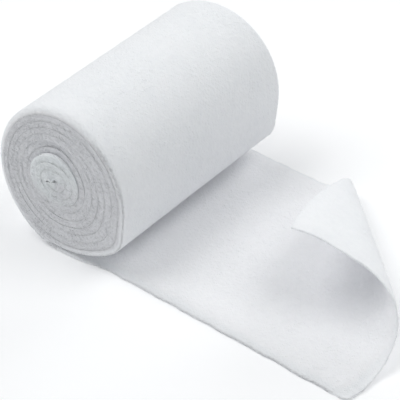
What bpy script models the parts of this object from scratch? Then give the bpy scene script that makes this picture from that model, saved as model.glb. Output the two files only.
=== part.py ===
"""Soft white roll bandage lying on its side: one strip, wound, with a flat tail whose free corner curls back.

Metres, +Z up. The roll's axis lies along Y, the tail runs out along +X, and the surface below it is Z = 0.
"""

import math

import bmesh
import bpy
from mathutils import Quaternion, Vector

# The strip
STRIP_WIDTH = 0.100
STRIP_THICKNESS = 0.0024

# The roll: its size over the outermost layer, the open eye in it, how far the eye lies off the middle on the side
# away from the tail, and the gap between its layers
ROLL_WIDTH = 0.0636
ROLL_HEIGHT = 0.0670
EYE_RADIUS = 0.0012
EYE_OFFSET = 0.0032
LAYER_GAP = 0.0006

# The layers nearest the eye stand out of the near end face by CORE_STEP
CORE_STEP = 0.0020
CORE_RADIUS = 0.0105

# The tail, measured from the line where it leaves the roll: it starts TAIL_INSET in from the near end face and
# runs out towards it, so that it lies a little askew
TAIL_LENGTH = 0.1357
TAIL_INSET = 0.0037
TAIL_SKEW = math.radians(3.4)

# The tail's cut end runs out by END_SLANT from its near corner to its far one and is hollow by END_HOLLOW between
# them. Over its last FAR_STRETCH the far edge bulges out by FAR_BULGE and is drawn in by FAR_DRAW at the corner
END_SLANT = 0.0096
END_HOLLOW = 0.0014
FAR_STRETCH = 0.095
FAR_BULGE = 0.0047
FAR_DRAW = 0.0056
CORNER_RADIUS = 0.0045

# The far corner curls as a cone. Its apex lies CURL_APEX_BACK before the tail's end and CURL_APEX_OUT beyond its
# far edge. The bend starts on a line through the apex at CURL_LINE from the tail's direction and turns over by
# CURL_TURN while that line sweeps CURL_SWEEP of the sheet: below 1, CURL_EARLY shifts the bend towards its start.
# The flap after it goes on turning a little, FLAP_TURN for each radian swept
CURL_APEX_BACK = 0.1352
CURL_APEX_OUT = 0.0735
CURL_LINE = math.radians(-53.4)
CURL_TURN = math.radians(161.0)
CURL_SWEEP = math.radians(19.75)
CURL_EARLY = 0.82
FLAP_TURN = 0.5

# The roll and the tail are one strip, modelled as two solids that meet with this gap where the tail leaves
MEETING_GAP = 0.0003

# How finely the sheet is divided
STEPS_PER_TURN = 40
TAIL_COLUMNS = 42
TAIL_ROWS = 28
CURL_STEPS = 120

LAYER_PITCH = STRIP_THICKNESS + LAYER_GAP
WIND_RADIUS = LAYER_PITCH / (2 * math.pi)
CONTACT_RADIUS = (ROLL_HEIGHT - STRIP_THICKNESS + LAYER_PITCH / 2) / 2
EYE_MIDDLE_RADIUS = EYE_RADIUS + STRIP_THICKNESS / 2
WOUND_ANGLE = (CONTACT_RADIUS - EYE_MIDDLE_RADIUS) / WIND_RADIUS
SQUEEZE = (ROLL_WIDTH - STRIP_THICKNESS) / (2 * CONTACT_RADIUS - LAYER_PITCH)
LIE = STRIP_THICKNESS / 2


def ease(share):
    """Smooth step from 0 to 1."""
    share = min(max(share, 0.0), 1.0)
    return share * share * (3 - 2 * share)


def tail_middle(along):
    """Y of the strip's centre line, at a distance along X from the line where the tail leaves the roll."""
    return TAIL_INSET - along * math.tan(TAIL_SKEW)


def wound_point(turned, across):
    """A point of the wound strip's middle surface. turned is 0 where the tail leaves and negative inside.

    The spiral is the involute of a circle of WIND_RADIUS, whose layers lie one LAYER_PITCH apart everywhere. It is
    then shifted more and more towards the eye, which brings the layers a little closer on that side.
    """
    radius = CONTACT_RADIUS + WIND_RADIUS * turned
    x = WIND_RADIUS * (math.cos(turned) - 1) + radius * math.sin(turned)
    x -= EYE_OFFSET * (1 - radius / CONTACT_RADIUS)
    z = LIE + CONTACT_RADIUS + WIND_RADIUS * math.sin(turned) - radius * math.cos(turned)
    inset = TAIL_INSET * ease(1 + turned / math.pi)
    step = CORE_STEP * ease((CORE_RADIUS - radius) / LAYER_PITCH)
    return Vector((x * SQUEEZE, across + inset - step, z))


def curl_rays():
    """Unit rays from the curl's apex, CURL_SWEEP / CURL_STEPS of the sheet apart, from the start line on.

    Each step rolls the ray and its neighbour direction about an axis between the ray and the sheet's normal: the
    more the sheet turns there, the nearer the axis is to the ray.
    """
    step = CURL_SWEEP / CURL_STEPS
    shares = [(index + 0.5) / CURL_STEPS for index in range(CURL_STEPS)]
    bends = [1 - math.cos(2 * math.pi * share**CURL_EARLY) for share in shares]
    turns = [bend * CURL_TURN / sum(bends) for bend in bends]
    turns += [FLAP_TURN * step] * (4 * CURL_STEPS)
    ray = Vector((math.cos(CURL_LINE), math.sin(CURL_LINE), 0.0))
    side = Vector((-math.sin(CURL_LINE), math.cos(CURL_LINE), 0.0))
    rays = [ray]
    for turn in turns:
        spin = ray.cross(side) * step + ray * turn
        roll = Quaternion(spin.normalized(), spin.length)
        ray = roll @ ray
        side = roll @ side
        rays.append(ray)
    return rays


RAYS = curl_rays()


def curled(flat):
    """Where a point of the flat tail lies once the corner is curled: unmoved up to the curl's start line."""
    far_edge = tail_middle(TAIL_LENGTH) + STRIP_WIDTH / 2
    apex = Vector((TAIL_LENGTH - CURL_APEX_BACK, far_edge + CURL_APEX_OUT, LIE))
    offset = flat - apex
    swept = math.atan2(offset.y, offset.x) - CURL_LINE
    if swept <= 0:
        return flat
    place = swept / CURL_SWEEP * CURL_STEPS
    before = min(int(place), len(RAYS) - 2)
    ray = RAYS[before].lerp(RAYS[before + 1], place - before)
    return apex + ray * offset.length


def tail_end(width_share):
    """How far the cut end reaches along X, for a share of the width from the near edge, 0, to the far one, 1."""
    from_edge = STRIP_WIDTH * min(width_share, 1 - width_share)
    into_corner = max(CORNER_RADIUS - from_edge, 0.0)
    rounding = CORNER_RADIUS - math.sqrt(CORNER_RADIUS**2 - into_corner**2)
    hollow = END_HOLLOW * 4 * width_share * (1 - width_share)
    return TAIL_LENGTH + END_SLANT * width_share - hollow - rounding


def tail_point(along, width_share):
    """A point of the tail's middle surface, along being its X in the flat sheet."""
    last = max(1 - (tail_end(width_share) - along) / FAR_STRETCH, 0.0)
    drift = width_share * (FAR_BULGE * 4 * last * (1 - last) - FAR_DRAW * last)
    across = STRIP_WIDTH * (width_share - 0.5) + drift
    return curled(Vector((along, tail_middle(along) + across, LIE)))


def place_wound(along, across):
    return wound_point(WOUND_ANGLE * (along - 1), across * STRIP_WIDTH / 2)


def place_tail(along, across):
    """The rows lie closer together near the two edges, where the corners are rounded."""
    width_share = 0.5 + 0.36 * across + 0.14 * math.sin(across * math.pi / 2)
    return tail_point(MEETING_GAP + along * (tail_end(width_share) - MEETING_GAP), width_share)


def fabric(name, colour, roughness):
    material = bpy.data.materials.new(name)
    material.use_nodes = True
    shader = material.node_tree.nodes["Principled BSDF"]
    shader.inputs["Base Color"].default_value = (*colour, 1.0)
    shader.inputs["Roughness"].default_value = roughness
    shader.inputs["Metallic"].default_value = 0.0
    material.diffuse_color = (*colour, 1.0)
    return material


def strip_piece(name, columns, rows, place, root, material):
    """A grid whose vertices move to place(share along, -1 to 1 across), given the strip's thickness."""
    mesh = bmesh.new()
    grid = bmesh.ops.create_grid(mesh, x_segments=columns, y_segments=rows, size=1)
    for vertex in grid["verts"]:
        vertex.co = place((vertex.co.x + 1) / 2, vertex.co.y)
    bmesh.ops.recalc_face_normals(mesh, faces=mesh.faces)
    for face in mesh.faces:
        face.smooth = True
    data = bpy.data.meshes.new(name)
    mesh.to_mesh(data)
    mesh.free()
    data.materials.append(material)
    piece = bpy.data.objects.new(name, data)
    piece.parent = root
    root.users_collection[0].objects.link(piece)
    wall = piece.modifiers.new("Thickness", "SOLIDIFY")
    wall.thickness = STRIP_THICKNESS
    wall.offset = 0.0
    wall.use_even_offset = True
    return piece


def centre_on_origin(root):
    """Moves the root so that the middle of its pieces' footprint is the origin."""
    bpy.context.view_layer.update()
    view = bpy.context.evaluated_depsgraph_get()
    corners = [Vector(corner) for piece in root.children for corner in piece.evaluated_get(view).bound_box]
    for axis in (0, 1):
        values = [corner[axis] for corner in corners]
        root.location[axis] = -(min(values) + max(values)) / 2


def main():
    for old in list(bpy.data.objects):
        bpy.data.objects.remove(old, do_unlink=True)
    collection = bpy.data.collections.new("Roll bandage")
    bpy.context.scene.collection.children.link(collection)
    root = bpy.data.objects.new("leaving_line", None)
    collection.objects.link(root)
    cotton = fabric("bandage_cotton", (0.86, 0.87, 0.89), 0.92)
    wound_columns = round(WOUND_ANGLE / (2 * math.pi) * STEPS_PER_TURN)
    strip_piece("wound_roll", wound_columns, 1, place_wound, root, cotton)
    strip_piece("free_tail", TAIL_COLUMNS, TAIL_ROWS, place_tail, root, cotton)
    centre_on_origin(root)


main()
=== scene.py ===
# A soft white roll bandage lying on its side, partly unrolled, its free corner turned up and folded back.
# Metres, +Z up. The roll's axis lies along Y, its near end face towards -Y, and the tail runs out along +X.
import math

import bpy
import numpy as np
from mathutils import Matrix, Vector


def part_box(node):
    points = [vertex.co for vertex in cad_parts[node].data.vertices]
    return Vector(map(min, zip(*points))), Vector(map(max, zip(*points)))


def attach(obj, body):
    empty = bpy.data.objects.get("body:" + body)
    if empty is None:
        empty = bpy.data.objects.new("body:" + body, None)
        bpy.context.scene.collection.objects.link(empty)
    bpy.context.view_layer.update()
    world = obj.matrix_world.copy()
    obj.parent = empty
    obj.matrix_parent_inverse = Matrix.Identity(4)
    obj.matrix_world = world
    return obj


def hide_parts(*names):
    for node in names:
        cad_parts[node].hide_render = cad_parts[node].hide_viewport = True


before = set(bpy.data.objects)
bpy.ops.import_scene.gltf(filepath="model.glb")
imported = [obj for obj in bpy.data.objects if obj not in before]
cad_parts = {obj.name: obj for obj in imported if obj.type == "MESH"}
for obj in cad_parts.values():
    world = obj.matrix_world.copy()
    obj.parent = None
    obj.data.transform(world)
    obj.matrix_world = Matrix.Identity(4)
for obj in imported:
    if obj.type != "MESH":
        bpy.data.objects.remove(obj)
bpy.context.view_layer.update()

# The strip as it is wound, and the tail that leaves it
strip = {
    "width": 0.100,
    "thickness": 0.0024,
    "rollWidth": 0.0636,
    "rollHeight": 0.0670,
    "eyeRadius": 0.0012,
    "eyeOffset": 0.0032,  # how far the eye lies off the middle, away from the tail
    "layerGap": 0.0006,
    "meetingGap": 0.0003,  # between the roll's solid and the tail's
    "coreRadius": 0.0130,
    "tailLength": 0.1357,
    "tailInset": 0.0037,  # how far in from the near end face the tail starts
    "footInset": 0.0004,  # but its near edge starts almost flush with it and draws in over footReach
    "footReach": 0.023,
    "tailSkew": math.radians(3.4),
    "endSlant": 0.01034,  # how much further the cut end reaches at its far corner
    "endHollow": 0.0014,  # how far it is hollow between its corners
    "nearCorner": 0.0045,  # radii of the two corners
    "farCorner": 0.0012,
    "tip": 0.0016,  # how far the far corner's tip is pulled out, over tipReach of the width
    "tipReach": 0.006,
    "farStretch": 0.095,  # over this length the far edge bulges out by farBulge and is drawn in by farDraw
    "farBulge": 0.0047,
    "farDraw": 0.00686,
}

# The free corner curls as a cone whose apex lies off the tail's far edge
curl = {
    "apexBack": 0.1356,
    "apexOut": 0.0722,
    "line": math.radians(-53.33),  # the bend starts on a line through the apex at this angle to the tail
    "turn": math.radians(156.0),  # and turns over by this much
    "sweep": math.radians(19.59),  # while the line sweeps this much of the sheet
    "early": 0.82,  # below 1, the bend is shifted towards its start
    "flapTurn": 2.82,  # how much the flap goes on turning, for each radian swept
    "steps": 240,
    "flapSweeps": 4,
}

# How the winding departs from an even spiral. A heading is 0 at the bottom, where the tail leaves, and
# negative inside; a lean is an angle from the top of the roll, away from the tail
winding = {
    "bunching": 0.00042,  # how far layers crowd together or stand apart
    "bunchPeriod": 0.0085,
    "evenRim": 0.0022,  # they don't this near the outermost layer, and do so fully after rimReach more
    "rimReach": 0.004,
    "evenEye": 0.003,  # and the same round the eye
    "eyeReach": 0.006,
    "lipDepth": 0.0008,  # the layers under the lip are pressed in by this much
    "lipLean": 0.55,
    "pressedIn": 0.0038,  # most at this depth under the outermost layer
    "pressedSpread": 0.0016,
    "sag": 0.0047,  # the roll is fuller low on the side the tail leaves
    "sagHeight": 0.012,
    "sagSpread": 0.0095,
    "sagReach": 0.025,
    "slack": 0.0011,  # flatter high on the other side near the near face
    "slackWay": (-0.77, 0.64),
    "fullEnd": 0.0019,  # and fuller high on the tail's side at the far end
    "fullWay": (0.69, 0.72),
    "coreStep": 0.0020,  # how far the core stands out of the near end face
    "coreLean": 0.7,
    "coreLow": 0.1,  # share of it that is left low on the tail's side
    "outerTurn": 0.6,  # radians over which the outermost turn takes on its own outer side
    "leavingOver": 0.9,  # and over which the strip takes on the tail's sides before it leaves
    "filledTurn": 5.5,  # radians over which the innermost layer fills the eye, down to openEye
    "thinsOver": 0.7,  # and over which it then thins
    "openEye": 0.0002,
    "telescope": 0.00012,  # how unevenly the layers end at the faces, but for the outermost ones
    "evenEnds": 0.0035,
    "endsReach": 0.003,
    "creaseDepth": 0.0012,  # a sunk ring round the core, deepest at the top
    "creaseRadius": 0.0157,
    "creaseSpread": 0.0019,
    "creaseArch": 0.16,
    "creaseRest": 0.12,  # share of it that goes on round the high side
}

# The strip's edges, its cut end and the seams between its layers
edges = {
    "lipRadius": 0.0026,  # the outermost layer's edge is rounded over on its outer side, high up
    "lipNarrows": 0.4,  # share of it that is lost on the way to the far face
    "footRadius": 0.0006,  # and only a little low on the right
    "edgeRadius": 0.0006,  # the tail's edges above
    "underRadius": 0.0003,  # and below
    "closedSeam": 0.000006,  # gap where two layers press together, and what is added where they part
    "openSeam": 0.00002,
    "closedEdge": 0.00002,  # corner radius there, and what is added
    "openEdge": 0.00006,
    "wavyEdge": 0.00022,  # how far the tail's long edges and cut end wander
    "wavyWidth": 0.004,  # and how far in from them the cloth goes with it
    "wavyDepth": 0.003,
    "kink": (1.6, 0.106, 0.004),  # the near edge steps out by this share, at this place, over this length
    "kinkBack": (1.2, 0.112, 0.02),  # and comes back
    "thinEdge": 0.0045,  # over this width the tail's long edges lose edgeLoss of their height
    "edgeLoss": 0.0016,
    "thinEnd": 0.0075,  # over this length the cloth thins out to its cut end
    "thinHalf": 0.00042,
    "liftFrom": 0.0016,  # from this height on the tail counts as lifted, fully after liftReach more
    "liftReach": 0.006,
    "starting": 0.02,  # over this length the tail takes on its own edges
    "least": 0.00003,  # the least thickness
}

fullTurn = 2 * math.pi
pitch = strip["thickness"] + strip["layerGap"]
windRadius = pitch / fullTurn
contactRadius = (strip["rollHeight"] - strip["thickness"] + pitch / 2) / 2
woundAngle = (contactRadius - strip["eyeRadius"] - strip["thickness"] / 2) / windRadius
outermostStart = -fullTurn * (contactRadius - windRadius * math.pi)  # along the strip, 0 where it leaves
squeeze = (strip["rollWidth"] - strip["thickness"]) / (2 * contactRadius - pitch)
lie = strip["thickness"] / 2  # height of the middle surface where the cloth lies on the floor
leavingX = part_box("free_tail")[0][0] - strip["meetingGap"]
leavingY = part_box("wound_roll")[1][1] - strip["width"] / 2 - strip["tailInset"]


def ease(share):
    # Smooth step from 0 to 1
    share = np.clip(share, 0.0, 1.0)
    return share * share * (3 - 2 * share)


def hump(x, middle, spread):
    # A bell: 1 at its middle
    return np.exp(-(((x - middle) / spread) ** 2))


def highUp(heading, lean, base, swing):
    # From 0 low on the roll to 1 high on it, where the cosine of the heading less the lean is least
    return ease(base - swing * np.cos(heading - lean))


def wander(x, period, seed):
    # An uneven wave between about -1 and 1: three sines of unrelated periods
    turn = fullTurn * x / period
    wave = np.sin(turn + 2.1 * seed)
    wave = wave + 0.7 * np.sin(1.73 * turn + 4.7 * seed)
    wave = wave + 0.45 * np.sin(2.91 * turn + 7.9 * seed)
    return wave / 1.75


def bunched(radius, heading):
    # How far a layer of that radius is pushed out of its even place: two sines of the radius, whose phases
    # drift round the roll, and none at the outermost layer and at the eye
    window = ease((contactRadius - winding["evenRim"] - radius) / winding["rimReach"])
    window = window * ease((radius - winding["evenEye"]) / winding["eyeReach"])
    phase = fullTurn * radius / winding["bunchPeriod"]
    push = np.sin(phase + 0.9 * np.sin(heading + 0.6))
    push = push + 0.5 * np.sin(1.61 * phase + 1.3 + 0.7 * np.cos(heading - 1.1))
    pressed = hump(radius, contactRadius - winding["pressedIn"], winding["pressedSpread"])
    pressed = pressed * highUp(heading, winding["lipLean"], 0.7, 0.9)
    return winding["bunching"] * window * push - winding["lipDepth"] * pressed


def tailMiddle(along):
    # Y of the strip's middle line on the tail
    return strip["tailInset"] - along * math.tan(strip["tailSkew"])


def woundPoints(turned, across):
    # An involute spiral of even pitch, drawn towards its eye and squeezed to the roll's width, then unevenly
    # bunched. turned is its heading, and across the distance from the strip's middle line
    even = contactRadius + windRadius * turned
    radius = even + bunched(even, turned)
    x = windRadius * (np.cos(turned) - 1) + radius * np.sin(turned)
    x = x - strip["eyeOffset"] * (1 - even / contactRadius)
    z = lie + contactRadius + windRadius * np.sin(turned) - radius * np.cos(turned)

    # The section's own bulges: a bell of the height low down, and two cubes of the reach in a direction
    sag = winding["sag"] * (np.clip(x, 0, None) / winding["sagReach"]) ** 1.5
    x = x + sag * hump(z, winding["sagHeight"], winding["sagSpread"])
    farShare = across / strip["width"] + 0.5
    high = z - contactRadius
    slackX, slackZ = winding["slackWay"]
    fullX, fullZ = winding["fullWay"]
    slack = (np.clip(slackZ * high + slackX * x, 0, None) / contactRadius) ** 3
    slack = winding["slack"] * slack * (1 - 0.7 * farShare)
    full = (np.clip(fullZ * high + fullX * x, 0, None) / contactRadius) ** 3
    full = winding["fullEnd"] * full * farShare**2
    x = x - slackX * slack + fullX * full
    z = z - slackZ * slack + fullZ * full

    # Along the axis: the inset of the last half turn, the raised core, uneven layer ends and the crease
    inset = strip["footInset"] * (1 - farShare) + strip["tailInset"] * farShare
    inset = inset * ease(1 + turned / math.pi)
    upLeft = 0.5 - 0.5 * np.cos(turned - winding["coreLean"])
    step = winding["coreStep"] * ease((strip["coreRadius"] - even) / pitch)
    step = step * (winding["coreLow"] + (1 - winding["coreLow"]) * upLeft**2)
    inside = ease((contactRadius - winding["evenEnds"] - even) / winding["endsReach"])
    uneven = winding["telescope"] * wander(turned, 2.9, 1.0) * inside
    arch = np.exp(-(1 + np.cos(turned)) / winding["creaseArch"])
    hollow = hump(even, winding["creaseRadius"], winding["creaseSpread"])
    hollow = hollow * (arch + winding["creaseRest"] * upLeft**3)
    y = across + inset - step + uneven + winding["creaseDepth"] * hollow
    return np.stack(np.broadcast_arrays(x * squeeze, y, z), axis=-1)


def toNeighbour(turned, share, normal, step):
    # Distance to the layer one turn further out or in, measured along the cloth's normal
    across = (share - 0.5) * strip["width"]
    apart = woundPoints(turned[:, None] + step, across) - woundPoints(turned[:, None], across)
    return np.clip(np.abs((apart * normal).sum(axis=-1)), 0.6 * pitch, 2 * pitch)


def parting(heading):
    # How far the layer at that heading stands off the one inside it, 0 pressed together and 1 apart: more so
    # low down and on every other turn, and little in the core
    wave = 0.2 + 0.5 * wander(heading, 1.7, 3.0) + 0.1 * np.cos(heading - 0.8)
    wave = wave + 0.2 * np.cos(heading / 2 + 0.4)
    outsideCore = ease((contactRadius + windRadius * heading - strip["coreRadius"]) / pitch)
    return np.clip(wave, 0, 1) ** 1.5 * (0.15 + 0.85 * outsideCore)


def turnedAbout(axis, angle, vector):
    # The vector rolled about a unit axis: its part across the axis turns, its part along it stays
    along = axis * (axis @ vector) * (1 - math.cos(angle))
    return vector * math.cos(angle) + np.cross(axis, vector) * math.sin(angle) + along


def curlRays():
    # Unit rays from the apex of the cone, each rolled a little further than the one before it about an axis
    # between the ray and the sheet's normal
    step = curl["sweep"] / curl["steps"]
    shares = (np.arange(curl["steps"]) + 0.5) / curl["steps"]
    bends = 1 - np.cos(fullTurn * shares ** curl["early"])
    flapTurns = np.full(curl["flapSweeps"] * curl["steps"], curl["flapTurn"] * step)
    turns = np.concatenate([bends * curl["turn"] / bends.sum(), flapTurns])
    ray = np.array([math.cos(curl["line"]), math.sin(curl["line"]), 0.0])
    side = np.array([-math.sin(curl["line"]), math.cos(curl["line"]), 0.0])
    rays = [ray]
    for turn in turns:
        spin = np.cross(ray, side) * step + ray * turn
        angle = np.linalg.norm(spin)
        axis = spin / angle
        ray = turnedAbout(axis, angle, ray)
        side = turnedAbout(axis, angle, side)
        rays.append(ray)
    return np.array(rays)


rays = curlRays()


def curled(flat):
    # A flat point keeps its distance from the apex, and the angle swept since the bend's start picks its ray
    farEdge = tailMiddle(strip["tailLength"]) + strip["width"] / 2
    apex = np.array([strip["tailLength"] - curl["apexBack"], farEdge + curl["apexOut"], lie])
    offset = flat - apex
    distance = np.linalg.norm(offset, axis=-1, keepdims=True)
    swept = np.arctan2(offset[..., 1], offset[..., 0]) - curl["line"]
    place = np.clip(swept / curl["sweep"] * curl["steps"], 0, len(rays) - 1.001)
    before = place.astype(int)
    part = (place - before)[..., None]
    ray = rays[before] * (1 - part) + rays[before + 1] * part
    return np.where((swept > 0)[..., None], apex + ray * distance, flat)


def tailEnd(share):
    # How far the cut end reaches, for a share of the width from the near edge to the far one
    fromEdge = strip["width"] * np.minimum(share, 1 - share)
    radius = np.where(share < 0.5, strip["nearCorner"], strip["farCorner"])
    intoCorner = np.clip(radius - fromEdge, 0, radius)
    rounding = radius - np.sqrt(radius**2 - intoCorner**2)
    hollow = strip["endHollow"] * 4 * share * (1 - share)
    tip = strip["tip"] * np.exp(-(1 - share) * strip["width"] / strip["tipReach"])
    return strip["tailLength"] + strip["endSlant"] * share - hollow - rounding + tip


def tailPoints(along, share):
    # The flat tail runs a little askew, its far edge bulging and drawn in towards the corner
    toEnd = tailEnd(share) - along
    last = np.clip(1 - toEnd / strip["farStretch"], 0, None)
    drift = share * (strip["farBulge"] * 4 * last * (1 - last) - strip["farDraw"] * last)
    foot = (strip["tailInset"] - strip["footInset"]) * (1 - share) * (1 - ease(along / strip["footReach"]))
    across = strip["width"] * (share - 0.5) + drift - foot

    # Its two long edges and its cut end wander, and it is then curled
    wave = wander(along, 0.017, 2.0)
    size, place, reach = edges["kink"]
    wave = wave + size * ease((along - place) / reach)
    size, place, reach = edges["kinkBack"]
    wave = wave - size * ease((along - place) / reach)
    started = ease(along / 0.01)
    byNear = np.exp(-share * strip["width"] / edges["wavyWidth"])
    byFar = np.exp(-(1 - share) * strip["width"] / edges["wavyWidth"])
    across = across - edges["wavyEdge"] * wave * started * byNear
    across = across + edges["wavyEdge"] * wander(along, 0.013, 5.0) * started * byFar
    ragged = edges["wavyEdge"] * wander(share * strip["width"], 0.012, 4.0)
    ragged = ragged * np.exp(-toEnd / edges["wavyDepth"])
    flat = np.stack([along + ragged, tailMiddle(along) + across, np.full(along.shape, lie)], axis=-1)
    return curled(flat)


def rounded(distance, radius):
    # How much a corner of that radius takes off the surface, at a distance from the edge
    into = np.clip(1 - distance / radius, 0, 1)
    return radius * (1 - np.sqrt(np.clip(1 - into**2, 0, 1)))


# How finely the strip is divided. Its rows are told in degrees on the inner turns, the last but one and the
# last, and its columns by their distances from the near edge in millimetres, crowded at the roll's edges
grid = {
    "rowDegrees": (4.5, 3.0, 2.0),
    "tailRows": 190,
    "endRows": (2.6, 1.8, 1.2, 0.8, 0.45, 0.2, 0.05, 0),  # millimetres before the cut end
    "endStart": 0.0034,
    "rollEdge": (0, 0.04, 0.15, 0.35, 0.6, 0.95, 1.35, 1.8, 2.4, 3.2, 4.4, 6, 8.5, 12, 17, 23, 30, 37, 44),
    "tailEdge": (0, 0.05, 0.2, 0.45, 0.8, 1.3),
    "tailFrom": 2.2,
    "tailColumns": 27,
    "flat": 0.86,  # where the points lie that keep a layer's end flat, from its middle to its corner
    "firstColumn": 2,  # points of the closed loop before its first column
}


def columnPlaces():
    rollEdge = list(grid["rollEdge"])
    roll = np.array(rollEdge + [50] + [100 - d for d in reversed(rollEdge)]) / 1000
    tailEdge = list(grid["tailEdge"])
    spread = list(np.linspace(grid["tailFrom"], 100 - grid["tailFrom"], grid["tailColumns"]))
    tail = np.array(tailEdge + spread + [100 - d for d in reversed(tailEdge)]) / 1000
    return roll, tail


def closedLoop(upper, lower):
    # Joins the strip's two sides round its edges: the middle of each edge, and points near its two corners
    # that keep it flat between them
    near = (upper[:, :1] + lower[:, :1]) / 2
    far = (upper[:, -1:] + lower[:, -1:]) / 2
    flat = grid["flat"]
    parts = [near, near + flat * (upper[:, :1] - near), upper, far + flat * (upper[:, -1:] - far), far]
    parts += [far + flat * (lower[:, -1:] - far), lower[:, ::-1], near + flat * (lower[:, :1] - near)]
    return np.concatenate(parts, axis=1)


def closedFaces(rows, around):
    # Quads between neighbouring rows, and a cap over either end that joins its upper and lower lines
    index = np.arange(rows * around).reshape(rows, around)
    here = index[:-1]
    after = index[1:]
    quads = np.stack([here, np.roll(here, -1, axis=1), np.roll(after, -1, axis=1), after], axis=-1)
    faces = quads.reshape(-1, 4).tolist()
    half = around // 2
    for row, flip in ((0, True), (rows - 1, False)):
        line = index[row]
        upperLine = line[1:half]
        lowerLine = line[half + 1 :][::-1]
        cap = np.stack([upperLine[:-1], upperLine[1:], lowerLine[1:], lowerLine[:-1]], axis=-1).tolist()
        cap.append([line[0], upperLine[0], lowerLine[0]])
        cap.append([upperLine[-1], line[half], lowerLine[-1]])
        faces += [face[::-1] if flip else face for face in cap]
    return faces


def blend(first, second, share):
    # The first where the share is 0 and the second where it is 1
    return first * (1 - share) + second * share


def lipHigh(heading):
    # Where the outermost layer's lip is full
    return highUp(heading, winding["lipLean"], 0.62, 0.75)


def outerSide(heading):
    # 1 where the strip's outer side is the roll's own surface, 0 where another layer covers it
    return ease((heading + fullTurn + winding["outerTurn"] / 2) / winding["outerTurn"])


def halfThicknesses(heading, share, fromEdge, innerSpace, outerSpace):
    # From the middle surface to the inner and the outer side: half the space to the neighbour there, less
    # half the gap that the two share, and less what their rounded edges take off
    innermost = 1 - ease((heading + woundAngle - winding["filledTurn"]) / winding["thinsOver"])
    leaving = ease(1 + heading / winding["leavingOver"])
    apart = parting(heading)
    inner = (innerSpace - edges["closedSeam"] - edges["openSeam"] * apart) / 2
    inner = blend(inner, contactRadius + windRadius * heading - winding["openEye"], innermost)
    inner = blend(inner, lie, leaving)
    innerEdge = blend(edges["closedEdge"] + edges["openEdge"] * apart, edges["edgeRadius"], leaving)
    outermost = outerSide(heading)
    apart = parting(heading + fullTurn)
    outer = (outerSpace - edges["closedSeam"] - edges["openSeam"] * apart) / 2
    outer = blend(outer, lie, outermost)
    lip = edges["lipRadius"] * (1 - edges["lipNarrows"] * share)
    lip = blend(edges["footRadius"], lip, lipHigh(heading))
    outerEdge = blend(edges["closedEdge"] + edges["openEdge"] * apart, lip, outermost)
    outerEdge = blend(outerEdge, edges["underRadius"], leaving)
    return inner - rounded(fromEdge, innerEdge), outer - rounded(fromEdge, outerEdge)


def thinnedTail(top, bottom, height, fromEdge, toEnd, length):
    # The tail's long edges thin out: down to the floor where it lies, about its middle where it is lifted
    lifted = ease((height - edges["liftFrom"]) / edges["liftReach"])
    loss = edges["edgeLoss"] * (1 - ease(fromEdge / edges["thinEdge"])) * ease(length / edges["starting"])
    top = top - loss * (1 - 0.6 * lifted)
    bottom = bottom - loss * 0.3 * lifted

    # And so does the cloth towards its cut end, whose edge is rounded
    thin = 1 - ease(toEnd / edges["thinEnd"])
    half = edges["thinHalf"]
    endLoss = 0.95 * rounded(toEnd, half)
    top = blend(top, np.minimum(top, blend(2 * half - lie, half, lifted)), thin) - endLoss
    bottom = blend(bottom, np.minimum(bottom, blend(lie, half, lifted)), thin) - endLoss
    top = np.maximum(top, edges["least"] - lie)
    return top, np.maximum(bottom, edges["least"] - top)


# Where the tone and the painted shade and light change: how far in each begins, and over what distance
toneAndPaintedLight = {
    "rim": (0.0002, 0.0014),  # the faces' grey, partly painted shade, fades in from the rim inwards
    "coreRim": (0.0006, 0.0016),  # the core's painted light starts inside its radius
    "coreLow": 0.25,  # share of the core's painted light that is left low on the tail's side, away from the light
    "outside": (0.0002, 0.0006),  # the outermost layer's lip keeps the white of the roll's side, without the faces' painted shade, up to here
    "lipOutside": 0.0016,  # and this much further in high up, a painted highlight where light falls on the lip
    "footFade": 0.006,  # the faces' grey and painted shade end on the tail within this length
    "seam": (0.0006, 0.0006),  # a seam starts this far from a layer's middle
    "closedSeam": 0.12,  # how much of its painted pits and painted highlights a seam has where it is pressed together
}


def clothFacts(heading, inRoll, share, length, inward):
    # What the material reads: place along, across and into the cloth, and how much it has the core's painted
    # light, the faces' grey and painted shade, and the seams' painted pits and highlights
    across = share * strip["width"]
    clothAlong = closedLoop(length, length)
    clothAcross = closedLoop(across, across)
    # The core's painted light: lighter on the raised core's upper left, where light falls on it, and less low
    # on the tail's side
    start, reach = toneAndPaintedLight["coreRim"]
    coreLitMask = ease((strip["coreRadius"] - start - contactRadius - windRadius * heading) / reach)
    coreLitMask = coreLitMask * blend(toneAndPaintedLight["coreLow"], 1.0, highUp(heading, winding["coreLean"], 1.1, 1.0))
    coreLitMask = np.broadcast_to(coreLitMask * inRoll, inward.shape)
    start, reach = toneAndPaintedLight["rim"]
    fromRim = np.minimum(clothAcross, strip["width"] - clothAcross)
    endOn = 1 - ease((fromRim - start) / reach)
    # The outermost layer's lip keeps the side's white, without the faces' painted shade, further in high up
    # where light falls on it
    start, reach = toneAndPaintedLight["outside"]
    start = start + toneAndPaintedLight["lipOutside"] * lipHigh(heading) ** 2
    endOn = endOn * (1 - outerSide(heading) * (1 - ease((inward - start) / reach)))
    faceOn = endOn * np.where(inRoll, 1.0, 1 - ease(clothAlong / toneAndPaintedLight["footFade"]))
    # The seams' painted pits and highlights, weaker where the layers press together
    start, reach = toneAndPaintedLight["seam"]
    parted = np.where(inward > 0, parting(heading), parting(heading + fullTurn))
    seamOn = endOn * ease((np.abs(inward) - start) / reach) * inRoll
    seamOn = seamOn * blend(toneAndPaintedLight["closedSeam"], 1.0, parted)
    return {
        "cloth": np.stack([clothAlong, clothAcross, inward], axis=-1).reshape(-1, 3),
        "coreLit": coreLitMask.reshape(-1),
        "face": faceOn.reshape(-1),
        "seam": seamOn.reshape(-1),
    }


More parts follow.
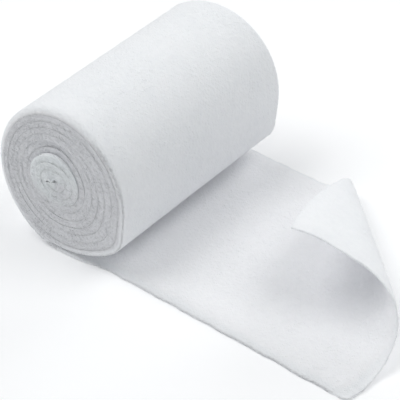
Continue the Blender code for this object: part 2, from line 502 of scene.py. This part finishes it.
def stripMesh():
    # The middle surface: rows along the strip, first those of the roll and then those of the tail
    rollColumns, tailColumns = columnPlaces()
    inner, lastButOne, last = (math.radians(degrees) for degrees in grid["rowDegrees"])
    turned = np.concatenate([
        np.arange(-woundAngle, -2 * fullTurn, inner),
        np.arange(-2 * fullTurn, -fullTurn, lastButOne),
        np.arange(-fullTurn, -0.001, last),
    ])
    rollShare = np.broadcast_to(rollColumns / strip["width"], (len(turned), len(rollColumns)))
    evenRows = np.linspace(0, strip["tailLength"] - grid["endStart"], grid["tailRows"])
    laid = np.concatenate([evenRows, strip["tailLength"] - np.array(grid["endRows"]) / 1000])
    mixed = ease(laid / edges["starting"])[:, None]
    tailShare = blend(rollColumns, tailColumns, mixed) / strip["width"]
    along = laid[:, None] * tailEnd(tailShare) / strip["tailLength"]
    rollMiddle = woundPoints(turned[:, None], (rollShare - 0.5) * strip["width"])
    middle = np.concatenate([rollMiddle, tailPoints(along, tailShare)])
    share = np.concatenate([rollShare, tailShare])
    heading = np.concatenate([turned, np.zeros(len(laid))])[:, None]
    arc = contactRadius * turned + windRadius * turned**2 / 2
    length = np.concatenate([np.broadcast_to(arc[:, None], rollShare.shape), along])

    # Normals: inwards in the roll, up on the tail
    normal = np.cross(np.gradient(middle, axis=0), np.gradient(middle, axis=1))
    normal /= np.linalg.norm(normal, axis=-1, keepdims=True)

    # The strip's two sides, above and below the middle surface
    spaces = [toNeighbour(turned, rollShare, normal[: len(turned)], step) for step in (-fullTurn, fullTurn)]
    spaces = [np.concatenate([space, np.full(tailShare.shape, pitch)]) for space in spaces]
    fromEdge = strip["width"] * np.minimum(share, 1 - share)
    toEnd = np.concatenate([np.full(rollShare.shape, 1.0), tailEnd(tailShare) - along])
    top, bottom = halfThicknesses(heading, share, fromEdge, *spaces)
    top, bottom = thinnedTail(top, bottom, middle[..., 2], fromEdge, toEnd, length)
    loops = closedLoop(middle + normal * top[..., None], middle - normal * bottom[..., None])
    loops = loops + np.array([leavingX, leavingY, 0.0])
    inRoll = (np.arange(len(middle)) < len(turned))[:, None]
    facts = clothFacts(heading, inRoll, share, length, closedLoop(top, -bottom))
    return loops.reshape(-1, 3), closedFaces(*loops.shape[:2]), facts, loops, length[:, 0]


# The yarn that binds the strip's two long edges, looping over them
binding = {
    "loop": 0.0015,  # length of one loop along the edge
    "radius": 0.00015,
    "middle": {"roll": -3.4, "tail": 3.2},  # lines of the strip's grid round from the edge, + is upwards
    "swing": 2.2,
    "sunk": {"roll": 0.45, "tail": 0.85},  # how much of its thickness lies in the cloth
    "hiddenDepth": 1.6,  # and how many radii it lies under it where it is hidden, high on the roll
    "hiddenLean": 0.9,
    "startsAfter": 0.002,  # from the start of the outermost turn
    "endsBefore": 0.009,  # the cut end
    "changesOver": 0.012,  # before the tail leaves
    "sides": 6,
    "perLoop": 10,
}


def surfaceNormals(surface):
    # The cross product of the grid's two directions, which points out of the cloth
    roundwards = np.roll(surface, -1, axis=1) - np.roll(surface, 1, axis=1)
    normal = np.cross(np.gradient(surface, axis=0), roundwards)
    return normal / np.linalg.norm(normal, axis=-1, keepdims=True)


def carried(path, outward, radius, sides):
    # A round tube: a circle of that radius, in the plane of the outward direction and its cross product with
    # the path's own direction, carried along the path and closed with a face at either end
    ahead = np.gradient(path, axis=0)
    ahead /= np.linalg.norm(ahead, axis=-1, keepdims=True)
    sideways = np.cross(ahead, outward)
    sideways /= np.linalg.norm(sideways, axis=-1, keepdims=True)
    upwards = np.cross(sideways, ahead)
    turn = (fullTurn * np.arange(sides) / sides)[:, None]
    circles = np.cos(turn) * upwards[:, None] + np.sin(turn) * sideways[:, None]
    rings = path[:, None] + radius[:, None, None] * circles
    index = np.arange(len(path) * sides).reshape(-1, sides)
    after = np.roll(index, -1, axis=1)
    quads = np.stack([index[:-1], after[:-1], after[1:], index[1:]], axis=-1).reshape(-1, 4)
    return rings.reshape(-1, 3), quads.tolist() + [index[0][::-1].tolist(), index[-1].tolist()]


def between(table, row, place):
    # What the strip's grid holds at a fractional row along it and a fractional place round it
    row = np.clip(row, 0, len(table) - 1.001)
    rowBefore = np.floor(row).astype(int)
    placeBefore = np.floor(place).astype(int)
    rowPart = (row - rowBefore)[:, None]
    placePart = (place - placeBefore)[:, None]
    found = 0
    for rowStep, rowShare in ((0, 1 - rowPart), (1, rowPart)):
        for placeStep, placeShare in ((0, 1 - placePart), (1, placePart)):
            corner = table[rowBefore + rowStep, (placeBefore + placeStep) % table.shape[1]]
            found = found + corner * rowShare * placeShare
    return found


def plainFacts(points, coreLit=0.0, face=0.0):
    # What the material reads on yarn and fibres: no seam marks, and the given share of the core's painted
    # light and of the faces' grey and painted shade
    zero = np.zeros(len(points))
    return {"cloth": points, "coreLit": zero + coreLit, "face": zero + face, "seam": zero}


def bindingYarn(surface, length):
    # At each edge the yarn swings round it as a sine of the distance along, on the strip's own closed surface
    normal = surfaceNormals(surface)
    step = binding["loop"] / binding["perLoop"]
    start = outermostStart + binding["startsAfter"]
    distance = np.arange(start, strip["tailLength"] - binding["endsBefore"], step)
    row = np.interp(distance, length, np.arange(len(length)))
    onTail = ease((distance + binding["changesOver"]) / binding["changesOver"])
    middle = blend(binding["middle"]["roll"], binding["middle"]["tail"], onTail)
    sunk = blend(binding["sunk"]["roll"], binding["sunk"]["tail"], onTail)
    heading = np.where(distance < 0, distance / contactRadius, 0.0)
    hidden = highUp(heading, binding["hiddenLean"], 0.4, 0.9) * (distance < 0)
    lift = (1 - 2 * sunk) * (1 - hidden) - binding["hiddenDepth"] * hidden
    allPoints = []
    allFaces = []
    for edge, outwards, seed in ((0, 1, 6.0), (surface.shape[1] // 2, -1, 7.0)):
        phase = fullTurn * (distance / binding["loop"] + 0.25 * wander(distance, 0.0063, seed))
        swing = binding["swing"] * (1 + 0.25 * wander(distance, 0.0041, seed + 2)) * np.sin(phase)
        radius = binding["radius"] * (1 + 0.2 * wander(distance, 0.0027, seed + 4))
        place = edge + outwards * (middle + swing)
        outward = between(normal, row, place)
        outward /= np.linalg.norm(outward, axis=-1, keepdims=True)
        centre = between(surface, row, place) + outward * (lift * radius)[:, None]
        centre[:, 2] = np.maximum(centre[:, 2], radius)
        tubePoints, tubeFaces = carried(centre, outward, radius, binding["sides"])
        first = sum(len(block) for block in allPoints)
        allPoints.append(tubePoints)
        allFaces += [[corner + first for corner in face] for face in tubeFaces]
    points = np.concatenate(allPoints)
    return points, allFaces, plainFacts(points)


def meshPiece(name, points, faces, facts, material):
    # Puts whole arrays into a mesh and turns it the right way out
    data = bpy.data.meshes.new(name)
    data.from_pydata(points.tolist(), [], faces)
    data.update()
    for fact, values in facts.items():
        kind, field = ("FLOAT_VECTOR", "vector") if values.ndim == 2 else ("FLOAT", "value")
        attribute = data.attributes.new(fact, kind, "POINT")
        attribute.data.foreach_set(field, np.ascontiguousarray(values, dtype=np.float32).ravel())
    data.polygons.foreach_set("use_smooth", np.ones(len(data.polygons), dtype=bool))

    # The volume enclosed: a sixth of the triple product of the corners of each triangle, added up
    triangles = [face[:3] for face in faces]
    triangles += [[face[0], face[2], face[3]] for face in faces if len(face) == 4]
    a, b, c = points[np.array(triangles)].transpose(1, 0, 2)
    volume = np.einsum("ij,ij->i", a, np.cross(b, c)).sum() / 6
    print(name, "volume cm3", round(volume * 1e6, 2), "faces", len(faces))
    if volume < 0:
        data.flip_normals()
    data.materials.append(material)
    piece = bpy.data.objects.new(name, data)
    bpy.context.scene.collection.objects.link(piece)
    return piece


class Strand:
    # One output of a node. Adding, taking away and multiplying put Math nodes into its tree
    def __init__(self, tree, socket):
        self.tree = tree
        self.socket = socket

    def node(self, kind, settings, inputs, output=0):
        # Any node: its settings first, then the values or links of its sockets
        made = self.tree.nodes.new(kind)
        for name, value in settings.items():
            setattr(made, name, value)
        for name, value in inputs.items():
            if isinstance(value, Strand):
                self.tree.links.new(value.socket, made.inputs[name])
            else:
                made.inputs[name].default_value = value
        return Strand(self.tree, made.outputs[output])

    def math(self, operation, first, second=0.0):
        return self.node("ShaderNodeMath", {"operation": operation}, {0: first, 1: second})

    def __add__(self, other):
        return self.math("ADD", self, other)

    __radd__ = __add__

    def __sub__(self, other):
        return self.math("SUBTRACT", self, other)

    def __rsub__(self, other):
        return self.math("SUBTRACT", other, self)

    def __mul__(self, other):
        return self.math("MULTIPLY", self, other)

    __rmul__ = __mul__

    def between(self, low, high):
        # 0 below low, 1 above high, smooth between them
        settings = {"interpolation_type": "SMOOTHSTEP"}
        return self.node("ShaderNodeMapRange", settings, {"Value": self, "From Min": low, "From Max": high})


cotton = {
    "white": (0.918, 0.932, 0.956),
    "napShade": (0.872, 0.887, 0.915),
    "insideTint": (1.028, 1.012, 1.010),
    "face": (0.800, 0.803, 0.826),  # the cut and knitted edges, seen end on: greyer, partly their own tone and partly painted shade of their many pits and gaps
    # painted shade: the dark of the pinholes along the seams and of the hollows of the matted faces
    "hollowShade": (0.40, 0.395, 0.41),
    # painted light on the raised core, lighter than the faces' grey
    "coreLit": (0.870, 0.905, 0.915),
    "stitch": 0.0011,
    "rib": 0.0016,
    "stitchDrift": 1.6,  # how far a row of stitches wanders, in radians
    "ribDrift": 1.4,  # how much more a rib does
    "inside": (0.0002, 0.0008),  # heights over the middle surface between which the inside's tint comes in
    "matScale": (420.0, 300.0, 900.0),  # how fine the matted faces are along, across and into the cloth
    "bump": {"Distance": 0.0005, "Strength": 0.4},
    # Scale, detail and roughness of each noise
    "noises": {
        "drift": (420.0, 3.0, 0.5),
        "nap": (1500.0, 4.0, 0.65),
        "pills": (330.0, 5.0, 0.6),
        "swell": (60.0, 2.0, 0.5),
        "mats": (1.0, 3.0, 0.55),
        "specks": (1.7, 1.0, 0.5),
        "fluff": (850.0, 2.0, 0.6),
        "rubbed": (38.0, 1.0, 0.5),
        "balls": (620.0, 2.0, 0.5),
        "blotches": (170.0, 2.0, 0.5),
    },
    # Levels of a noise between which its mark comes in
    "marks": {
        "fluff": (0.35, 0.8),
        "rubbed": (0.46, 0.62),
        "balls": (0.56, 0.72),
        "pills": (0.35, 0.75),
        "shadedPits": (0.54, 0.64),
        "beadHighlights": (0.34, 0.44),
        "mats": (0.25, 0.62),
        "blotches": (0.3, 0.7),
    },
    # How much each adds to the height
    "relief": {
        "knit": 0.25,
        "nap": 0.4,
        "fluff": 0.8,
        "pills": 0.6,
        "swell": 0.4,
        "balls": 1.3,
        "mats": 1.7,
        "specks": -0.6,
    },
    # How strongly each colours the cloth: the pits as painted shade, the beads as painted highlights, the
    # mats partly as painted shade in their hollows
    "shades": {"pills": 0.5, "rubbed": 0.2, "mats": 0.2, "blotches": 0.09, "shadedPits": 0.5, "beadHighlights": 0.6},
    "corePits": 0.7,  # share of the pits' painted shade that the core lacks
    "roughness": 0.88,
    "napRoughness": 0.1,
    # What doesn't vary, on the shader's own sockets
    "constants": {
        "Specular IOR Level": 0.15,
        "Sheen Weight": 0.12,
        "Sheen Roughness": 0.5,
        "Subsurface Weight": 0.6,
        "Subsurface Radius": (1.0, 1.0, 1.0),
        "Subsurface Scale": 0.0025,
    },
}


def cottonCloth(name):
    material = bpy.data.materials.new(name)
    material.use_nodes = True
    tree = material.node_tree
    shader = tree.nodes["Principled BSDF"]
    start = Strand(tree, None)
    marks = cotton["marks"]
    relief = cotton["relief"]
    shades = cotton["shades"]

    def noise(place, kind):
        scale, detail, roughness = cotton["noises"][kind]
        inputs = {"Vector": place, "Scale": scale, "Detail": detail, "Roughness": roughness}
        return start.node("ShaderNodeTexNoise", {}, inputs, "Fac")

    def colour(kind):
        return (*cotton[kind], 1)

    def mix(share, first, second, way="MIX"):
        settings = {"data_type": "RGBA", "blend_type": way}
        return start.node("ShaderNodeMix", settings, {0: share, 6: first, 7: second}, 2)

    # Where on the cloth it is, and how much it has the core's painted light, the faces' grey and painted
    # shade, and the seams' painted pits and highlights
    where = start.node("ShaderNodeTexCoord", {}, {}, "Object")
    cloth = start.node("ShaderNodeAttribute", {"attribute_name": "cloth"}, {}, "Vector")
    along = start.node("ShaderNodeSeparateXYZ", {}, {"Vector": cloth}, "X")
    across = start.node("ShaderNodeSeparateXYZ", {}, {"Vector": cloth}, "Y")
    inward = start.node("ShaderNodeSeparateXYZ", {}, {"Vector": cloth}, "Z")
    coreLitMask = start.node("ShaderNodeAttribute", {"attribute_name": "coreLit"}, {}, "Fac")
    face = start.node("ShaderNodeAttribute", {"attribute_name": "face"}, {}, "Fac")
    seam = start.node("ShaderNodeAttribute", {"attribute_name": "seam"}, {}, "Fac")

    # Fine knitted rows under a raised nap, with small pills, and a coarser, matted surface on the faces
    nap = noise(where, "nap")
    pills = noise(where, "pills")
    bend = (noise(where, "drift") - 0.5) * cotton["stitchDrift"]
    wale = start.math("SINE", across * (fullTurn / cotton["stitch"]) + bend)
    course = start.math("SINE", along * (fullTurn / cotton["rib"]) + bend * cotton["ribDrift"])
    knit = wale * course * 0.5 + 0.5
    stretched = start.node("ShaderNodeMapping", {}, {"Vector": cloth, "Scale": cotton["matScale"]})
    mats = noise(stretched, "mats")
    specks = noise(stretched, "specks")
    fluff = noise(where, "fluff").between(*marks["fluff"])
    rubbed = noise(where, "rubbed").between(*marks["rubbed"]) * (1.0 - face)
    balls = rubbed * noise(where, "balls").between(*marks["balls"])
    height = knit * relief["knit"] + nap * relief["nap"] + fluff * relief["fluff"] + pills * relief["pills"]
    height = height + noise(where, "swell") * relief["swell"] + balls * relief["balls"]
    height = height + face * mats * relief["mats"] + seam * specks * relief["specks"]
    bump = start.node("ShaderNodeBump", {}, {"Height": height, **cotton["bump"]})
    tree.links.new(bump.socket, shader.inputs["Normal"])

    # Colour: cool white, a little greyer between the pills and warmer on the strip's inner side
    worn = pills.between(*marks["pills"]) * shades["pills"] + rubbed * shades["rubbed"]
    tone = mix(worn, colour("white"), colour("napShade"))
    tone = mix(inward.between(*cotton["inside"]), tone, mix(1.0, tone, colour("insideTint"), "MULTIPLY"))

    # Greyer on the faces, partly their own tone and partly painted shade of their pits and gaps, and lighter
    # on the core as painted light. Darker in random blotches and, as painted shade, in the hollows of the
    # matted relief. Painted shade in the sunk pinholes along the seams, and painted highlights on the raised
    # beads
    tone = mix(face, tone, mix(coreLitMask, colour("face"), colour("coreLit")))
    # Painted shade in the sunk pits of the seams, and in the low hollows of the matted faces, mixed with
    # random blotches of real tone
    shadedPits = seam * specks.between(*marks["shadedPits"]) * (1.0 - coreLitMask * cotton["corePits"]) * shades["shadedPits"]
    mottleAndHollowShade = (1.0 - mats.between(*marks["mats"])) * shades["mats"]
    mottleAndHollowShade = mottleAndHollowShade + (1.0 - noise(where, "blotches").between(*marks["blotches"])) * shades["blotches"]
    tone = mix(start.math("MAXIMUM", shadedPits, face * mottleAndHollowShade), tone, colour("hollowShade"))
    # Painted highlights on the raised beads along the seams
    beadHighlights = seam * (1.0 - specks.between(*marks["beadHighlights"])) * shades["beadHighlights"]
    tone = mix(beadHighlights, tone, colour("white"))
    tree.links.new(tone.socket, shader.inputs["Base Color"])
    rough = cotton["roughness"] + nap * cotton["napRoughness"]
    tree.links.new(rough.socket, shader.inputs["Roughness"])
    for socket, value in cotton["constants"].items():
        shader.inputs[socket].default_value = value
    return material


# Loose fibres that stand off the cloth, thread ends that mat the two faces of the roll, and the frayed
# threads of the cut end
lint = {"count": 1800, "length": 0.0021, "rise": 0.00045, "radius": 0.000022, "sunk": 0.00003, "seed": 11}
matting = {"count": 6200, "length": 0.0012, "rise": 0.00014, "radius": 0.00005, "sunk": 0.00002, "seed": 23}
fray = {"count": 300, "length": 0.0010, "rise": 0.0005, "radius": 0.00004, "sunk": 0.0001, "seed": 31}
fibre = {
    "steps": 6,
    "sides": 3,
    "taper": 0.6,  # share of its thickness that is lost towards its end
    "overFloor": 0.0003,
    "fromStart": 0.002,  # how far lint keeps from the start of the outermost turn
    "fromEnd": 0.003,  # from the cut end
    "fromEdge": 0.02,  # and, as a share of the width, from the long edges
    "flapHeight": 0.006,  # above this the cloth is the flap, whose two sides both show
    "flapUnder": 0.6,  # share of the flap's lint that is on its other side
    "tuft": 0.021,  # how far apart the tufts of the frayed end are
    "fromEye": 0.004,  # how far the matting keeps from the strip's inner end
    "nearFace": 0.6,  # share of the matting that is on the near face
}


def fibres(draw, feet, normal, sizes):
    # Each fibre is an arc from its foot: it runs along the surface, rises and falls as a sine, and bends
    # sideways as the square of its run. A triangle carried along it gives it its body
    count = len(feet)
    steps = fibre["steps"]
    sides = fibre["sides"]
    run = np.cross(normal, draw.normal(size=(count, 3)))
    run /= np.linalg.norm(run, axis=-1, keepdims=True)
    sideways = np.cross(normal, run)
    share = np.linspace(0, 1, steps)[None, :, None]
    size = draw.uniform(0.5, 1.3, (count, 1, 1)) * sizes["length"]
    rise = draw.uniform(0.3, 1.2, (count, 1, 1)) * sizes["rise"]
    bend = draw.uniform(-0.7, 0.7, (count, 1, 1)) * size
    path = feet[:, None] + run[:, None] * share * size + sideways[:, None] * bend * share**2
    path = path + normal[:, None] * (rise * np.sin(math.pi * share) - sizes["sunk"])
    path[..., 2] = np.maximum(path[..., 2], fibre["overFloor"])
    turn = (fullTurn * np.arange(sides) / sides)[None, None, :, None]
    ring = np.cos(turn) * normal[:, None, None] + np.sin(turn) * sideways[:, None, None]
    points = path[:, :, None] + (1 - fibre["taper"] * share)[..., None] * sizes["radius"] * ring
    index = np.arange(count * steps * sides).reshape(count, steps, sides)
    after = np.roll(index, -1, axis=2)
    quads = np.stack([index[:, :-1], after[:, :-1], after[:, 1:], index[:, 1:]], axis=-1).reshape(-1, 4)
    faces = quads.tolist() + index[:, 0, ::-1].tolist() + index[:, -1].tolist()
    return points.reshape(-1, 3), faces


def upperColumn(across):
    # The place round the strip's grid of a point of the tail's upper side
    columns = columnPlaces()[1]
    return grid["firstColumn"] + np.interp(across, columns, np.arange(len(columns)))


def lintFibres(surface, length):
    # Feet spread evenly over the outermost turn's outer side, the tail's upper side and the flap's two sides
    draw = np.random.default_rng(lint["seed"])
    count = lint["count"]
    start = outermostStart + fibre["fromStart"]
    distance = draw.uniform(start, strip["tailLength"] - fibre["fromEnd"], count)
    row = np.interp(distance, length, np.arange(len(length)))
    upper = upperColumn(draw.uniform(fibre["fromEdge"], 1 - fibre["fromEdge"], count) * strip["width"])
    lower = 2 * (surface.shape[1] // 2) - upper
    middleHeight = (between(surface, row, upper)[:, 2] + between(surface, row, lower)[:, 2]) / 2
    onFlap = middleHeight > fibre["flapHeight"]
    under = (distance < 0) | (onFlap & (draw.random(count) < fibre["flapUnder"]))
    place = np.where(under, lower, upper)
    normal = between(surfaceNormals(surface), row, place)
    normal /= np.linalg.norm(normal, axis=-1, keepdims=True)
    points, faces = fibres(draw, between(surface, row, place), normal, lint)

    # The cut end frays: loops of thread stand out of it, crowded in tufts where an uneven wave is high
    draw = np.random.default_rng(fray["seed"])
    across = draw.uniform(0.03, 0.97, 3 * fray["count"]) * strip["width"]
    tufted = wander(across, fibre["tuft"], 3.0) + 1.2 * draw.normal(size=len(across))
    column = upperColumn(across[np.argsort(-tufted)[: fray["count"]]])
    last = np.full(len(column), len(surface) - 1.0)
    outwards = between(surface, last, column) - between(surface, last - 6, column)
    outwards /= np.linalg.norm(outwards, axis=-1, keepdims=True)
    frayPoints, frayFaces = fibres(draw, between(surface, last, column), outwards, fray)
    first = len(points)
    faces = faces + [[corner + first for corner in face] for face in frayFaces]
    points = np.concatenate([points, frayPoints])
    return points, faces, plainFacts(points)


def faceMatting(surface, length, stripCoreLit):
    # Feet spread evenly along the two edges of the wound layers under the outermost, anywhere across a layer
    draw = np.random.default_rng(matting["seed"])
    count = matting["count"]
    distance = draw.uniform(length[0] + fibre["fromEye"], -0.6 * contactRadius, count)
    row = np.interp(distance, length, np.arange(len(length))).astype(int)
    near = draw.random(count) < fibre["nearFace"]
    edge = np.where(near, 0, surface.shape[1] // 2)
    side = np.where(draw.random(count) < 0.5, 1, -1)
    reach = draw.uniform(0, 1, (count, 1)) ** 0.7
    feet = blend(surface[row, edge], surface[row, (edge + side) % surface.shape[1]], reach)
    normal = np.where(near, -1.0, 1.0)[:, None] * np.array([[0.0, 1.0, 0.0]])
    kept = distance <= outermostStart
    points, faces = fibres(draw, feet[kept], normal[kept], matting)
    # The thread ends take the core's painted light where they start, and half the faces' grey and painted
    # shade
    coreLit = stripCoreLit.reshape(surface.shape[:2])[row, 0][kept]
    return points, faces, plainFacts(points, np.repeat(coreLit, fibre["steps"] * fibre["sides"]), 0.5)


print("winding the strip")
clothMaterial = cottonCloth("bandage cotton")
points, faces, stripFacts, surface, surfaceLength = stripMesh()
bandage = meshPiece("bandage", points, faces, stripFacts, clothMaterial)
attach(bandage, "root")
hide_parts("wound_roll", "free_tail")
print("binding its edges")
points, faces, facts = bindingYarn(surface, surfaceLength)
edgeYarn = meshPiece("edge_yarn", points, faces, facts, clothMaterial)
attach(edgeYarn, "root")
print("laying its lint")
points, faces, facts = lintFibres(surface, surfaceLength)
looseLint = meshPiece("lint", points, faces, facts, clothMaterial)
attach(looseLint, "root")
print("matting the faces of the roll")
points, faces, facts = faceMatting(surface, surfaceLength, stripFacts["coreLit"])
matted = meshPiece("thread_ends", points, faces, facts, clothMaterial)
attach(matted, "root")

studio = {
    "floorColour": (0.93, 0.93, 0.93),
    "floorGlow": 0.13,
    "floorRoughness": 0.9,
    "floorSize": 4.0,
    "floorDrop": 0.0002,  # how far the floor lies under the bandage
    "skyColour": (0.92, 0.96, 1.0),
    "skyStrength": 0.32,
    "lampSize": 0.75,
    "lampDistance": 1.2,
    # Azimuth, elevation and power of each lamp
    "lamps": {"left key": (300, 60, 6.0), "right fill": (120, 60, 3.75), "low back": (180, 25, 3.25)},
    # The photograph's own viewing angle, distance and lens, in millimetres
    "target": (0.04052, -0.01621, 0.025),  # from the middle of the line where the tail leaves
    "azimuth": 37.17,
    "elevation": 36.11,
    "distance": 0.7247,
    "lens": 169.7,
    "sensor": 36.0,
}


def away(azimuth, elevation):
    # The direction of a point seen at that azimuth, 0 being -Y and 90 being +X, and elevation, in degrees
    turn = math.radians(azimuth)
    rise = math.radians(elevation)
    return np.array([math.sin(turn) * math.cos(rise), -math.cos(turn) * math.cos(rise), math.sin(rise)])


def facing(azimuth, elevation):
    # The turn of a lamp or camera there that looks back at the middle
    return (math.pi / 2 - math.radians(elevation), 0, math.radians(azimuth))


def layFloor():
    size = studio["floorSize"]
    data = bpy.data.meshes.new("floor")
    corners = [(x * size, y * size, -studio["floorDrop"]) for x, y in ((-1, -1), (1, -1), (1, 1), (-1, 1))]
    data.from_pydata(corners, [], [(0, 1, 2, 3)])
    floor = bpy.data.objects.new("floor", data)
    bpy.context.scene.collection.objects.link(floor)
    material = bpy.data.materials.new("floor")
    material.use_nodes = True
    shader = material.node_tree.nodes["Principled BSDF"]
    shader.inputs["Base Color"].default_value = (*studio["floorColour"], 1)
    shader.inputs["Roughness"].default_value = studio["floorRoughness"]
    shader.inputs["Specular IOR Level"].default_value = 0.0
    shader.inputs["Emission Color"].default_value = (1, 1, 1, 1)
    shader.inputs["Emission Strength"].default_value = studio["floorGlow"]
    data.materials.append(material)


def lightStudio():
    world = bpy.data.worlds.new("studio")
    world.use_nodes = True
    sky = world.node_tree.nodes["Background"]
    sky.inputs["Color"].default_value = (*studio["skyColour"], 1)
    sky.inputs["Strength"].default_value = studio["skyStrength"]
    bpy.context.scene.world = world
    for name, (azimuth, elevation, power) in studio["lamps"].items():
        light = bpy.data.lights.new(name, "AREA")
        light.shape = "DISK"
        light.size = studio["lampSize"]
        light.energy = power
        lamp = bpy.data.objects.new(name, light)
        lamp.location = studio["lampDistance"] * away(azimuth, elevation)
        lamp.rotation_euler = facing(azimuth, elevation)
        bpy.context.scene.collection.objects.link(lamp)


def placeCamera():
    target = np.array([leavingX, leavingY, 0.0]) + np.array(studio["target"])
    camera = bpy.data.objects.new("camera", bpy.data.cameras.new("camera"))
    camera.data.lens = studio["lens"]
    camera.data.sensor_width = studio["sensor"]
    camera.location = target + studio["distance"] * away(studio["azimuth"], studio["elevation"])
    camera.rotation_euler = facing(studio["azimuth"], studio["elevation"])
    bpy.context.scene.collection.objects.link(camera)
    bpy.context.scene.camera = camera
    bpy.context.scene.view_settings.view_transform = "Standard"


layFloor()
lightStudio()
placeCamera()
